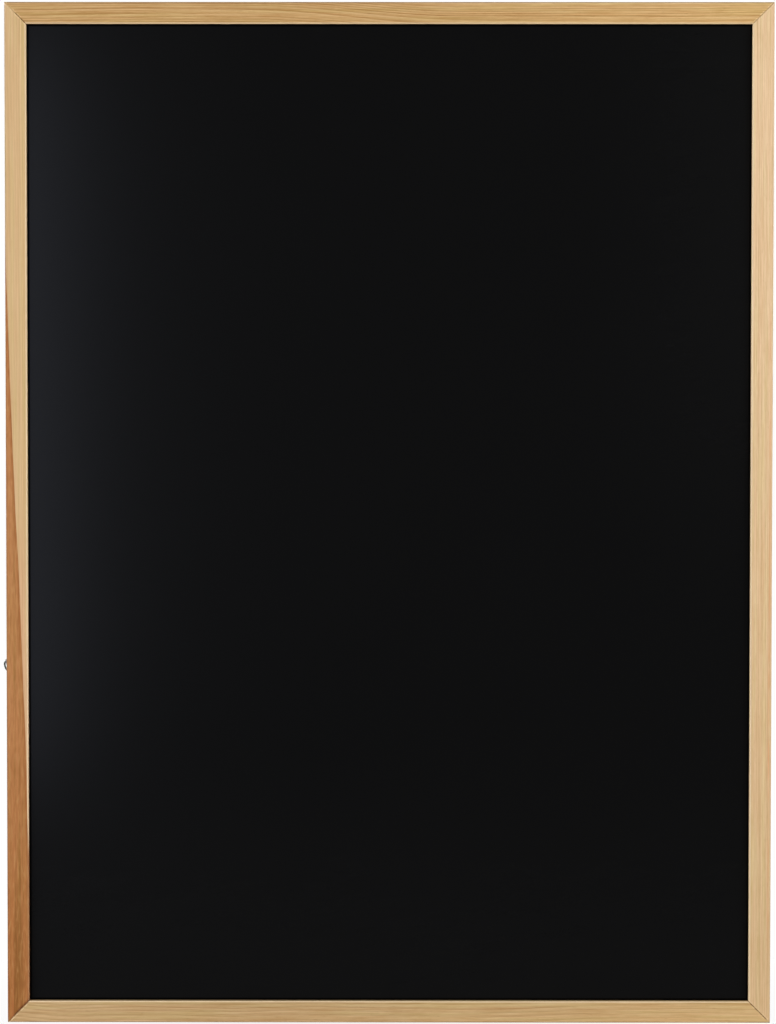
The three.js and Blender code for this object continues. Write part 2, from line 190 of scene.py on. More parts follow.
class Finish(Nodes):
    """A material: its shader, the place of a point on the board in millimetres, and the nodes between."""

    def __init__(self, name, **constants):
        self.material = bpy.data.materials.new(name)
        self.material.use_nodes = True
        super().__init__(self.material.node_tree)
        self.shader = self.node("ShaderNodeBsdfPrincipled", {}, constants)
        self.surface = self.node("ShaderNodeOutputMaterial").inputs["Surface"]
        self.tree.links.new(self.shader.outputs[0], self.surface)
        place = self.node("ShaderNodeTexCoord").outputs["Object"]
        axes = self.node("ShaderNodeSeparateXYZ", {}, {0: place})
        self.x, self.y, self.z = (Reading(self, socket) / MM for socket in axes.outputs)

    def noise(self, x, y, z, **values):
        """Cloudy noise from 0 to 1, whose clouds are about one unit of x, y and z across."""
        place = self.node("ShaderNodeCombineXYZ", {}, {0: x, 1: y, 2: z}).outputs[0]
        node = self.node("ShaderNodeTexNoise", {}, {"Vector": place, "Scale": 1, **values})
        return Reading(self, node.outputs[0])

    def chance(self, value):
        """A random number from 0 to 1 for each whole number."""
        node = self.node("ShaderNodeTexWhiteNoise", {"noise_dimensions": "1D"}, {"W": value})
        return Reading(self, node.outputs["Value"])

    def mixed(self, amount, first, second, blend="MIX"):
        """Colour of first with an amount of second."""
        first, second = (c if isinstance(c, bpy.types.NodeSocket) else (*c, 1) for c in (first, second))
        node = self.node(
            "ShaderNodeMix",
            {"data_type": "RGBA", "blend_type": blend},
            {"Factor": amount, MIX_FIRST: first, MIX_SECOND: second},
        )
        return node.outputs[MIX_RESULT]

    def tinted(self, base, amount, tint):
        """Colour of base, darkened by an amount of a tint."""
        return self.mixed(amount, base, tint, "MULTIPLY")

    def lay(self, relief=None, height=0.01, **values):
        """Feeds the shader, with the relief as a bump of that many millimetres."""
        if relief is not None:
            bump = self.node("ShaderNodeBump", {}, {"Height": relief, "Distance": height * MM})
            values["Normal"] = bump.outputs[0]
        for name, value in values.items():
            socket = value.socket if isinstance(value, Reading) else value
            self.tree.links.new(socket, self.shader.inputs[name])
        return self.material

    def cover(self, amount, shader):
        """Covers an amount of the finish with another shader."""
        layers = {0: amount, 1: self.shader.outputs[0], 2: shader.outputs[0]}
        mix = self.node("ShaderNodeMixShader", {}, layers)
        self.tree.links.new(mix.outputs[0], self.surface)
        return self.material


class PineLooks(bpy.types.PropertyGroup):
    """Shades of the frame's four rails."""

    left: colour("Left rail", "Sapwood of the left rail", (224, 194, 151))
    left_heart: colour("Heartwood above", "Left rail's heartwood where it starts", (199, 142, 92))
    left_heart_low: colour("Heartwood below", "Left rail's heartwood at its foot", (189, 126, 75))
    right: colour("Right rail", "Upper end of the right rail", (251, 223, 187))
    right_low: colour("Right rail, below", "Foot of the right rail", (235, 206, 165))
    top: colour("Top rail", "Left end of the top rail", (210, 174, 121))
    top_end: colour("Top rail, right", "Right end of the top rail", (231, 195, 139))
    bottom: colour("Bottom rail", "Left end of the bottom rail", (215, 186, 142))
    bottom_end: colour("Bottom rail, right", "Right end of the bottom rail", (228, 197, 147))
    grain: share("Grain", "How strongly the growth rings show", 1.0)


# How each rail was cut from its log, in millimetres: the shades of its two ends, the share of its length
# over which the first one holds, the tint and the width of the growth rings, where the log's centre lay
# across and behind the rail, how far the grain runs out per millimetre, where it sweeps sideways and by how
# much, how far it wanders, how bold it is at the two ends, how strong the streaks between the rings are,
# and how strong the painted highlight on the arris beside the sheet and the painted grey shade on the outer
# arris are
RAIL_CUTS = {
    "left": dict(
        tones=("left", "left"),
        turn=0,
        late=(0.88, 0.83, 0.76),
        ring=2.1,
        pith=(-70, 35),
        runout=0.004,
        sweep=(0, 200, 1),
        wander=2.5,
        bold=(0.6, 0.8),
        figure=0.35,
        arris=(1.1, 1),
    ),
    "right": dict(
        tones=("right_low", "right"),
        turn=0,
        late=(0.86, 0.81, 0.74),
        ring=1.9,
        pith=(85, 30),
        runout=-0.003,
        sweep=(0, 200, 1),
        wander=2,
        bold=(0.7, 1),
        figure=0.6,
        arris=(1.35, 0.25),
    ),
    "top": dict(
        tones=("top", "top_end"),
        turn=0.35,
        late=(0.62, 0.47, 0.28),
        ring=2,
        pith=(-60, 40),
        runout=0.004,
        sweep=(-110, 60, 11),
        wander=3,
        bold=(1, 0.8),
        figure=1,
        arris=(0.75, 1),
    ),
    "bottom": dict(
        tones=("bottom", "bottom_end"),
        turn=0.3,
        late=(0.66, 0.54, 0.38),
        ring=2.2,
        pith=(48, 44),
        runout=-0.005,
        sweep=(-305, -250, -4),
        wander=5,
        bold=(0.6, 0.5),
        figure=0.75,
        arris=(1, 0.9),
    ),
}

# Outer edge of each rail: the axis across the rail, the edge's place on it and the way to the sheet
OUTER_EDGES = {
    "left": ("x", LEFT, 1),
    "right": ("x", RIGHT, -1),
    "top": ("z", TOP, -1),
    "bottom": ("z", BOTTOM, 1),
}
UPRIGHTS = ("left", "right")

# Left rail's heartwood, in millimetres, with heights from the rail's middle: the height at which it starts
# at the outer edge, how far its own edge runs in per millimetre down, how far that edge bulges and sways,
# how far it runs in per millimetre back from the face, and the height from which it darkens, down to how far
# above the foot
HEART_START = 215
HEART_SLANT = 0.0354
HEART_BULGE = 0.9
HEART_SWAY = 1.2
HEART_LEAN = 0.35
HEART_DARKENS = -150
HEART_DARK = 20
HEART_OCHRE = paint(198, 152, 100)
HEART_HALO = paint(230, 192, 154)

# Open part of each mitre: how dark its crack is, partly glue and dirt in the joint and partly painted shade
# in the opening, how many millimetres in from the outer corner it starts, and how many pale chips lie beside
# it, partly chipped wood and partly painted highlight
MITRE_CRACKS = {
    "top_left": (1, 8.5, 0.7),
    "top_right": (0.45, 0.5, 1),
    "bottom_left": (0.5, 0.5, 1),
    "bottom_right": (0.95, 2.5, 0.8),
}
CREAM = paint(244, 216, 170)
# Colour of the painted highlight on the arris beside the sheet
ARRIS_HIGHLIGHT = paint(255, 230, 190)


class RailWood(Finish):
    """Planed pine under a thin matt lacquer, sawn as its rail was.

    A point lies along the rail from its middle, across from its outer edge and at a depth from its face."""

    def __init__(self, side, looks):
        super().__init__("pine_" + side, **{"IOR": 1.45, "Specular IOR Level": 0.35})
        self.side = side
        self.looks = looks
        self.cut = RAIL_CUTS[side]
        self.seed = 37 * SIDES.index(side) + 11
        if side in UPRIGHTS:
            self.half_length = (TOP - BOTTOM) / 2 / MM
            self.along = self.z - MIDDLE.z / MM
        else:
            self.half_length = (RIGHT - LEFT) / 2 / MM
            self.along = self.x - MIDDLE.x / MM
        axis, edge, way = OUTER_EDGES[side]
        self.across = (getattr(self, axis) - edge / MM) * way
        self.depth = self.y - FRONT / MM

    def streaks(self, width, stretch, detail):
        """Noise drawn out along the grain, in streaks of about that width and length in millimetres."""
        place = (self.across / width, self.depth / width, self.along / stretch + self.seed)
        return self.noise(*place, Detail=detail)

    def growth_rings(self):
        """Dark late wood and pale early wood of the growth rings, each from 0 to 1."""
        along, cut, seed = self.along, self.cut, self.seed
        start, end, shift = cut["sweep"]
        pith_across, pith_behind = cut["pith"]
        drift = self.noise(along / 150, seed, self.across / 120, Detail=1) - 0.5
        lift = self.noise(along / 190, seed + 5, self.depth / 120, Detail=1) - 0.5
        in_log = self.across + along * cut["runout"] - along.rise(start, end) * shift + drift * cut["wander"]
        behind = self.depth + lift * cut["wander"]
        radius = ((in_log - pith_across) ** 2 + (behind - pith_behind) ** 2).root()
        uneven = self.noise(radius / 7, seed + 9, along / 400, Detail=0)
        rings = radius / cut["ring"] + uneven * 2.4
        part = rings.fraction()
        strong = self.chance(rings.whole()) * 0.6 + 0.4
        faded = self.noise(rings / 1.3, seed + 3, along / 80, Detail=2).rise(0.3, 0.6) * 0.7 + 0.3
        late = part.rise(0.5, 0.85) * part.rise(1, 0.93) * strong * faded
        early = part.rise(0, 0.1) * part.rise(0.45, 0.2) * faded
        return late, early

    def planed(self):
        """Material of the rail."""
        cut, looks = self.cut, self.looks
        late, early = self.growth_rings()
        far = self.along / (2 * self.half_length) + 0.5
        low, high = cut["bold"]
        grain = (far * (high - low) + low) * looks.grain

        bands = self.streaks(2.4, 190, 2) - 0.5
        lines = self.streaks(0.6, 36, 1) - 0.5
        flecks = self.streaks(0.8, 9, 2) - 0.5
        clouds = self.streaks(30, 90, 2) - 0.5
        blush = self.noise(self.across / 4, self.depth / 4, self.along / 120 - self.seed, Detail=1)
        canals = self.streaks(0.5, 6, 1).rise(0.64, 0.74) * (late * 0.5 + 0.5)

        first, last = (getattr(looks, tone) for tone in cut["tones"])
        wood = self.mixed((far + clouds * 0.5).rise(cut["turn"], 1), first, last)
        wood = self.mixed(early * grain * 0.3, wood, CREAM)
        heart = 0
        if self.side == "left":
            wood, heart = self.heartwood(wood, bands + lines * 0.6)
        wood = self.tinted(wood, late * grain * (1 - heart * 0.4), cut["late"])
        shade = (bands * 0.9 + lines * 1.5 + flecks * 0.7) * cut["figure"] + clouds * 0.3
        wood = self.tinted(wood, (shade + 0.5).rise(0, 1), (0.76, 0.66, 0.52))
        wood = self.tinted(wood, blush.rise(0.62, 0.4) * 0.6, (1, 0.93, 0.88))
        wood = self.tinted(wood, blush.rise(0.45, 0.68) * 0.6, (0.98, 1, 0.86))
        wood = self.tinted(wood, canals * cut["figure"] * 0.6, (0.52, 0.36, 0.2))
        if self.side == "right":
            wood = self.tinted(wood, self.resin() * 0.7, (0.97, 0.7, 0.6))
        wood, dent = self.arrises(wood, heart)
        wood, crack = self.mitres(wood, heart)

        relief = late * 0.4 + flecks * 0.5 - canals * 0.8 - dent - crack
        rough = 0.5 - late * 0.1 + lines * 0.16 + crack * 0.3
        return self.lay(relief, 0.03, **{"Base Color": wood, "Roughness": rough})

    def heartwood(self, sapwood, streaks):
        """Left rail with its darker wood, whose edge crosses the face at a slant, and where that wood is."""
        along, across, depth, looks = self.along, self.across, self.depth, self.looks
        sway = (self.noise(along / 120, 3.7, 0, Detail=2) - 0.5) * HEART_SWAY
        bulge = along.rise(10, -60) * along.rise(-260, -160) * HEART_BULGE
        inside = (HEART_START - along) * HEART_SLANT + bulge + sway + depth * HEART_LEAN - across
        heart = inside.rise(-0.2, 0.55)
        low = along.rise(HEART_DARKENS, HEART_DARK - self.half_length)
        shade = self.mixed(low, looks.left_heart, looks.left_heart_low)
        shade = self.tinted(shade, inside.rise(3.2, 0.4), (0.84, 0.74, 0.62))
        middle = across.rise(3, 7) * across.rise(15, 11) * (low * 0.7 + 0.3)
        shade = self.tinted(shade, (streaks * 2 + middle * 0.7).rise(0.1, 0.8), (0.74, 0.78, 0.62))
        shade = self.tinted(shade, (streaks * -1.6).rise(0.1, 0.7), (1, 0.86, 0.8))
        mottle = self.noise(across / 1.6, depth / 1.6, along / 11, Detail=3, Distortion=0.4)
        shade = self.tinted(shade, mottle.rise(0.42, 0.66) * 0.55, (0.8, 0.76, 0.7))
        shade = self.mixed(mottle.rise(0.5, 0.3) * 0.5, shade, HEART_OCHRE)
        glue_stain = (along + self.half_length - across).rise(3.4, 0.4) * across.rise(1, 9)
        shade = self.tinted(shade, glue_stain, (0.46, 0.34, 0.22))
        return self.mixed(heart, self.beside_heart(sapwood, inside), shade), heart

    def beside_heart(self, sapwood, inside):
        """Left rail's sapwood: rosy beside the heartwood, with a pale ring near the sheet higher up."""
        along, across = self.along, self.across
        upper = along.rise(-60, 60)
        wood = self.mixed(inside.rise(-9, -1) * along.rise(60, -100), sapwood, HEART_HALO)
        wood = self.mixed(across.rise(12.4, 12.8) * across.rise(13.3, 12.9) * upper * 0.5, wood, CREAM)
        return self.tinted(wood, across.rise(12.9, 13.6) * upper * 0.5, (0.97, 0.98, 0.84))

    def resin(self):
        """Right rail's broken streak of resin close to its outer edge, which ends above the foot."""
        along, across = self.along, self.across
        broken = self.noise(along / 45, 2.5, 0, Detail=2).rise(0.36, 0.56)
        strip = across.rise(1.2, 1.7) * across.rise(3, 2.2)
        return strip * along.rise(400, -150) * along.rise(-370, -310) * broken

    def arrises(self, wood, heart):
        """Painted highlight on the arris beside the sheet, and painted grey shade with dents of handling on
        the outer one.
        """
        width = RAIL_FACE / MM
        wear_and_light = self.noise(self.along / 9, self.seed + 2, self.depth, Detail=3)
        near_face = self.depth.rise(1.6, 0.5)
        pale, grey = self.cut["arris"]
        inner = self.across.rise(width - 1.3, width - 0.7) * near_face
        outer = self.across.rise(1.4, 0.6) * near_face
        # Painted highlight on the arris beside the sheet, then painted grey shade on the outer arris
        wood = self.mixed(inner * (wear_and_light * 0.5 + 0.5) * (1 - heart * 0.85) * pale, wood, ARRIS_HIGHLIGHT)
        wood = self.tinted(wood, outer * (wear_and_light * 0.5 + 0.5) * grey, (0.76, 0.78, 0.9))
        dent = outer * wear_and_light.rise(0.62, 0.75)
        return wood, dent

    def mitres(self, wood, heart):
        """Brown broken line where the glued rail ends meet, partly dirt and partly painted shade in the
        crack; pale chips, partly painted highlight.
        """
        across, half_length = self.across, self.half_length
        crack = 0
        chips = 0
        for end, name in zip((-1, 1), rail_ends(self.side)):
            darkness, opening, chipping = MITRE_CRACKS[name]
            short = half_length - self.along * end - across
            ragged = self.noise(across / 1.6, 7.1 * end, half_length, Detail=2)
            open_part = across.rise(opening - 1.5, opening + 1.5) * ragged.rise(0.3, 0.55)
            crack = short.rise(0.9, 0.25) * open_part * darkness + crack
            chip = self.noise(across / 1.1, 3.3 * end, half_length + SIDES.index(self.side), Detail=1)
            chips = short.rise(2, 1.2) * short.rise(0.3, 0.9) * chip.rise(0.44, 0.6) * chipping + chips
        # Pale chips, partly painted highlight; then the brown line, partly painted shade in the open crack
        wood = self.mixed(chips * 0.75 * (1 - heart * 0.9), wood, CREAM)
        wood = self.tinted(wood, crack, (0.32, 0.2, 0.09))
        return wood, crack


def rail_ends(side):
    """Names of the mitres at a rail's low and high end."""
    if side in UPRIGHTS:
        return "bottom_" + side, "top_" + side
    return side + "_left", side + "_right"


class PanelLooks(bpy.types.PropertyGroup):
    """Shades of the sheet and of what backs it."""

    enamel: colour("Enamel", "Chalkboard enamel on the sheet", (14.5, 14.5, 15))
    # Grey of the painted sheen on the enamel: a painted reflection towards the foot and a painted sheen at
    # the upper right
    chalk: colour("Chalk dust", "Dust of wiped chalk, which settles towards the foot", (112, 112, 112))
    fibreboard: colour("Fibreboard", "Raw edge and face of the core board", (169, 141, 104))
    hardboard: colour("Hardboard", "Smooth face of the back panel", (122, 86, 56))


# Painted shadow of the rails' lip on the strip of the sheet beside it, in millimetres from the rail: where it
# ends and starts to fade
SHADOW_STRIP_END = 2.2
SHADOW_STRIP_WHOLE = 0.9


def enamel(looks):
    """Matt black enamel with a fine grit for the chalk, a painted grey sheen towards the foot and the upper
    right, and a painted shadow along the rails.
    """
    finish = Finish("chalk_enamel", **{"IOR": 1.5})
    x, y, z = finish.x, finish.y, finish.z
    grit = finish.noise(x / 0.5, y / 0.5, z / 0.5, Detail=2)
    cloud = finish.noise(x / 140, 4, z / 190, Detail=3)
    wiped = finish.noise(x / 60 + z / 200, 9, z / 14 - x / 90, Detail=4)
    shade = finish.tinted(looks.enamel, grit * 0.5 + cloud * 0.5, (0.7, 0.7, 0.72))
    # Painted sheen: lighter towards the foot as a painted reflection of the floor, and at the upper right as
    # a painted sheen
    painted_sheen = (z.rise(-310, -540) + x.rise(120, 290) * z.rise(-280, 0)) * (wiped * 0.6 + 0.7)
    shade = finish.mixed(painted_sheen * 0.008, shade, looks.chalk)
    rough = 0.21 + cloud * 0.03 + wiped * 0.02 + grit * 0.02 + painted_sheen * 0.04
    finish.lay(grit, 0.004, **{"Base Color": shade, "Roughness": rough})
    beside = (x - (LEFT + RAIL_FACE) / MM).least((RIGHT - RAIL_FACE) / MM - x)
    above = (z - (BOTTOM + RAIL_FACE) / MM).least((TOP - RAIL_FACE) / MM - z)
    # Near-black, matt shader laid along the rails: painted shadow of the lip
    dull = finish.node(
        "ShaderNodeBsdfPrincipled",
        {},
        {"Base Color": (0.0006, 0.0006, 0.0006, 1), "Roughness": 0.7, "Specular IOR Level": 0.05},
    )
    return finish.cover(beside.least(above).rise(SHADOW_STRIP_END, SHADOW_STRIP_WHOLE), dull)


def fibreboard(looks):
    """Pressed fibres, cut raw at the edges."""
    finish = Finish("fibreboard", **{"Specular IOR Level": 0.2})
    fibres = finish.noise(finish.x / 1.4, finish.y / 0.3, finish.z / 1.4, Detail=5, Distortion=0.6)
    specks = finish.noise(finish.x / 0.5, finish.y / 0.5, finish.z / 0.5, Detail=1).rise(0.62, 0.7)
    shade = finish.tinted(looks.fibreboard, fibres, (0.72, 0.66, 0.58))
    shade = finish.tinted(shade, specks * 0.6, (0.5, 0.4, 0.3))
    rough = 0.85 + fibres * 0.1
    return finish.lay(fibres - specks * 0.3, 0.12, **{"Base Color": shade, "Roughness": rough})


def hardboard(looks):
    """Brown hardboard with its pressed, slightly shiny side out: flecks of bark and short pale fibres."""
    finish = Finish("hardboard", **{"Specular IOR Level": 0.45})
    x, y, z = finish.x, finish.y, finish.z
    clouds = finish.noise(x / 45, y, z / 45, Detail=4)
    mottle = finish.noise(x / 3.5, y, z / 3.5, Detail=4, Distortion=0.8)
    fibres = finish.noise(x / 0.8 + mottle * 4, y, z / 3.2 + mottle * 3, Detail=2).rise(0.58, 0.72)
    bark = finish.noise(x / 1.1, y + 8, z / 1.1, Detail=1).rise(0.66, 0.74)
    shade = finish.tinted(looks.hardboard, clouds * 0.8, (0.78, 0.72, 0.66))
    shade = finish.tinted(shade, mottle.rise(0.3, 0.75) * 0.7, (0.74, 0.68, 0.6))
    shade = finish.mixed(fibres * 0.35, shade, paint(168, 128, 88))
    shade = finish.tinted(shade, bark * 0.7, (0.36, 0.28, 0.22))
    rough = 0.46 + mottle * 0.18 + fibres * 0.12
    return finish.lay(mottle + fibres * 0.4, 0.05, **{"Base Color": shade, "Roughness": rough})


class MetalLooks(bpy.types.PropertyGroup):
    """Shades of the fasteners and hangers."""

    zinc: colour("Zinc", "Bright zinc plate on the straps and screws", (196, 198, 194))
    galvanised: colour("Galvanised", "Galvanised points and V-nails", (168, 170, 168))
    wire: colour("Ring wire", "Dull plate on the rings' wire", (150, 156, 148))


def plated(name, shade, rough, patch, scratch):
    """Plated steel: cloudy, in patches of that many millimetres, with fine scratches and dull spots."""
    finish = Finish(name, **{"Metallic": 1})
    x, y, z = finish.x, finish.y, finish.z
    clouds = finish.noise(x / patch, y / patch, z / patch, Detail=3)
    scratches = finish.noise(x / 0.12, y / 0.12, z / 2.4, Detail=2)
    spots = finish.noise(x / 0.5, y / 0.5, z / 0.5, Detail=2).rise(0.64, 0.74)
    plate = finish.tinted(shade, clouds.rise(0.3, 0.7), (0.84, 0.86, 0.88))
    plate = finish.tinted(plate, spots * 0.5, (0.55, 0.52, 0.46))
    dull = rough + clouds * 0.14 + scratches * 0.12 + spots * 0.2
    return finish.lay(scratches * scratch + clouds * 0.3, 0.02, **{"Base Color": plate, "Roughness": dull})


# Hangers


class HangerSizes(bpy.types.PropertyGroup):
    """Sizes of the strap hangers."""

    strap_width: length("Strap width", "Width of the strap", 9.5)
    strap_thickness: length("Strap thickness", "Sheet steel that the strap is pressed from", 1)
    seat_gap: length("Seat gap", "Air under the strap", 0.1)
    tail_gap: length("Tail gap", "Opening between the rolled tail and the strap", 0.3)
    strap_hole: length("Strap hole", "Diameter of the hole for the screw", 3.4)
    edge_round: length("Edge rounding", "Rounding of the pressed edges", 0.14)
    wire: length("Ring wire", "Diameter of the ring's wire", 1.6)
    ring_height: length("Ring height", "From the eye's axis to the middle of the wire at the bow", 9.6)
    ring_corner: length("Ring corner", "Bend beside the eye, to the middle of the wire", 1.6)
    ring_play: length("Ring play", "Gap between the strap's side and the ring", 0.6)
    butt_gap: length("Butt gap", "Gap between the ends of the wire in the eye", 0.3)
    screw_head: length("Screw head", "Diameter of the pan head", 5.6)
    head_height: length("Head height", "Height of the pan head", 1.7)
    screw_shank: length("Screw shank", "Diameter over the thread", 2.8)
    screw_length: length("Screw length", "From the back of the rail to the tip", 12)
    recess_span: length("Recess span", "Width of the cross recess", 3.2)
    recess_slot: length("Recess slot", "Width of each arm of the recess", 0.7)


# How finely the round forms are divided
WIRE_SIDES = 24
ROUND_SIDES = 48
CORNER_STEPS = 8
BOW_STEPS = 32
EYE_STEPS = 34
HEAD_STEPS = 7
THREAD_STEPS = 24

WELD = MM / 1000
SMOOTH_ANGLE = math.radians(35)
PRESSED_ANGLE = math.radians(50)

# How far each screw is turned, in degrees, and the steps of its recess from the rim down: the depth of a
# step and the share of its width that is left
RECESS_TURNS = {"upper_left": 20, "upper_right": -35, "lower_left": 52, "lower_right": 8}
RECESS_STEPS = ((0.45 * MM, 0.8), (0.45 * MM, 0.6), (0.15 * MM, 0.05))

# Head: how far the recess's rim and the flat round it lie below the crown, how wide that flat is, and the
# share of the head's height that is rounded
RECESS_SINK = 0.12 * MM
CROWN_SINK = 0.04 * MM
CROWN_FLAT = 0.15 * MM
CROWN_SHARE = 0.62
HEAD_CHAMFER = 0.05 * MM
HEAD_UNDERCUT = 0.15 * MM

# Shank: the height at which it has narrowed to the thread's core, and the core's share of its width
NECK = -0.6 * MM
NECK_TAPER = 0.3 * MM
CORE_SHARE = 0.72
POINT_LENGTH = 4 * MM
TIP_RADIUS = 0.03 * MM

# Thread: how deep its foot is sunk in the core, how far its crest stays inside the shank's width, its upper
# end, and its lower end above the tip
THREAD_PITCH = 1.1 * MM
THREAD_HALF_WIDTH = 0.35 * MM
THREAD_SINK = 0.1 * MM
CREST_SINK = 0.02 * MM
THREAD_TOP = NECK - 0.4 * MM
THREAD_FOOT = POINT_LENGTH - 0.2 * MM


def hanger_seat(place):
    """A hanger's own frame on the back of the rail, the reach from its screw to its eye and the eye's height.

    The frame's origin is on the screw's axis; X runs across the strap, Y up to the eye and Z off the rail."""
    low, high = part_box("hanger_screw_" + place)
    joint = next(j for j in frame["joints"] if j["name"] == "ring_" + place + "_swing")
    eye = Vector(joint["pos_m"])
    screw = Vector(((low.x + high.x) / 2, RAIL_BACK, (low.z + high.z) / 2))
    out = Vector((0, 1, 0))
    up = Vector((eye.x - screw.x, 0, eye.z - screw.z))
    reach = up.length
    up.normalize()
    across = up.cross(out)
    turn = Matrix((across, up, out)).transposed().to_4x4()
    return Matrix.Translation(screw) @ turn, reach, eye.y - RAIL_BACK


def drawn(shape, edges, way):
    """Pulls a loop of edges straight on and gives the new loop."""
    made = bmesh.ops.extrude_edge_only(shape, edges=edges)["geom"]
    moved = [part for part in made if isinstance(part, bmesh.types.BMVert)]
    bmesh.ops.translate(shape, verts=moved, vec=way)
    return [part for part in made if isinstance(part, bmesh.types.BMEdge)]


def bent(shape, edges, centre, axis, turn, steps):
    """Pulls a loop of edges on round a centre and gives the new loop."""
    made = bmesh.ops.spin(
        shape,
        geom=edges,
        cent=centre,
        axis=axis,
        angle=turn,
        steps=steps,
        use_merge=False,
        use_duplicate=False,
    )["geom_last"]
    return [part for part in made if isinstance(part, bmesh.types.BMEdge)]


def ring_shape(sizes, reach, eye_height):
    """D-ring hanging down over the strap, its wire butted inside the eye."""
    shape = bmesh.new()
    half = sizes.strap_width / 2 + sizes.ring_play + sizes.wire / 2
    corner = sizes.ring_corner
    shoulder = half - corner
    bow = sizes.ring_height - half
    butt = sizes.butt_gap / 2
    start = Matrix.Translation((butt, reach, eye_height)) @ Matrix.Rotation(math.radians(90), 4, "Y")
    bmesh.ops.create_circle(shape, segments=WIRE_SIDES, radius=sizes.wire / 2, matrix=start)
    out = (0, 0, 1)
    first = shape.edges[:]
    loop = drawn(shape, first, (shoulder - butt, 0, 0))
    loop = bent(shape, loop, (shoulder, reach - corner, eye_height), out, -math.pi / 2, CORNER_STEPS)
    loop = drawn(shape, loop, (0, corner - bow, 0))
    loop = bent(shape, loop, (0, reach - bow, eye_height), out, -math.pi, BOW_STEPS)
    loop = drawn(shape, loop, (0, bow - corner, 0))
    loop = bent(shape, loop, (-shoulder, reach - corner, eye_height), out, -math.pi / 2, CORNER_STEPS)
    loop = drawn(shape, loop, (shoulder - butt, 0, 0))
    bmesh.ops.edgeloop_fill(shape, edges=first)
    bmesh.ops.edgeloop_fill(shape, edges=loop)
    bmesh.ops.bevel(
        shape,
        geom=first + loop,
        offset=sizes.wire / 10,
        segments=2,
        affect="EDGES",
        profile=0.5,
        material=-1,
    )
    bmesh.ops.recalc_face_normals(shape, faces=shape.faces[:])
    return shape


def strap_shape(sizes, reach, eye_height):
    """Rail side of the strap: a plate round the screw, a bar up to the eye, and the roll of the eye."""
    shape = bmesh.new()
    half = sizes.strap_width / 2
    flat = Matrix.Translation((0, 0, sizes.seat_gap))
    bmesh.ops.create_circle(shape, segments=ROUND_SIDES, radius=half, matrix=flat)
    # The plate is round below the screw and square above it, where the bar goes on
    for vert in shape.verts:
        if vert.co.y > 0:
            spread = half / max(abs(vert.co.x), vert.co.y)
            vert.co.x *= spread
            vert.co.y *= spread
    rim = shape.edges[:]
    bmesh.ops.create_circle(shape, segments=ROUND_SIDES, radius=sizes.strap_hole / 2, matrix=flat)
    bmesh.ops.bridge_loops(shape, edges=shape.edges[:])
    top = [edge for edge in rim if all(vert.co.y > half - WELD for vert in edge.verts)]
    eye_radius = eye_height - sizes.seat_gap
    closing = math.asin((eye_radius - sizes.strap_thickness - sizes.tail_gap) / eye_radius)
    top = drawn(shape, top, (0, reach - half, 0))
    bent(shape, top, (0, reach, eye_height), (1, 0, 0), 1.5 * math.pi + closing, EYE_STEPS)
    bmesh.ops.remove_doubles(shape, verts=shape.verts[:], dist=WELD)
    bmesh.ops.recalc_face_normals(shape, faces=shape.faces[:])
    # The faces look at the rail, because the sheet gets its thickness on their other side
    lowest = min(shape.faces, key=lambda face: face.calc_center_median().y)
    if lowest.normal.z > 0:
        bmesh.ops.reverse_faces(shape, faces=shape.faces[:])
    return shape


def cross_recess(shape, sizes, crown):
    """Recess in the screw's head: a cross, drawn down in steps that grow narrower."""
    arm, slot = sizes.recess_span / 2, sizes.recess_slot / 2
    corners = [(arm, -slot), (arm, slot), (slot, slot)]
    quarters = [Matrix.Rotation(math.pi / 2 * i, 2) for i in range(4)]
    places = [quarter @ Vector(corner) for quarter in quarters for corner in corners]
    verts = [shape.verts.new((*place, crown - RECESS_SINK)) for place in places]
    rim = [shape.edges.new((verts[i - 1], verts[i])) for i in range(len(verts))]
    bmesh.ops.subdivide_edges(shape, edges=rim, cuts=ROUND_SIDES // len(verts) - 1)
    wall = shape.edges[:]
    for depth, narrow in RECESS_STEPS:
        wall = drawn(shape, wall, (0, 0, -depth))
        low = list({vert for edge in wall for vert in edge.verts})
        bmesh.ops.scale(shape, verts=low, vec=(narrow, narrow, 1))
    bmesh.ops.edgeloop_fill(shape, edges=wall)


def screw_outline(sizes, seat, crown, core):
    """Radii and heights down a screw, from the rim round its recess to its tip."""
    head, shank = sizes.screw_head / 2, sizes.screw_shank / 2
    rim = sizes.recess_span / 2 + CROWN_FLAT
    drop = CROWN_SHARE * sizes.head_height
    outline = []
    for i in range(HEAD_STEPS + 1):
        turn = math.pi / 2 * i / HEAD_STEPS
        height = crown - drop * (1 - math.cos(turn)) - CROWN_SINK
        outline.append((rim + (head - rim) * math.sin(turn), height))
    outline += [(head - HEAD_CHAMFER, seat + HEAD_CHAMFER), (head - HEAD_UNDERCUT, seat)]
    outline += [(shank, seat), (shank, NECK + NECK_TAPER), (core, NECK)]
    outline += [(core, POINT_LENGTH - sizes.screw_length), (TIP_RADIUS, -sizes.screw_length)]
    return outline


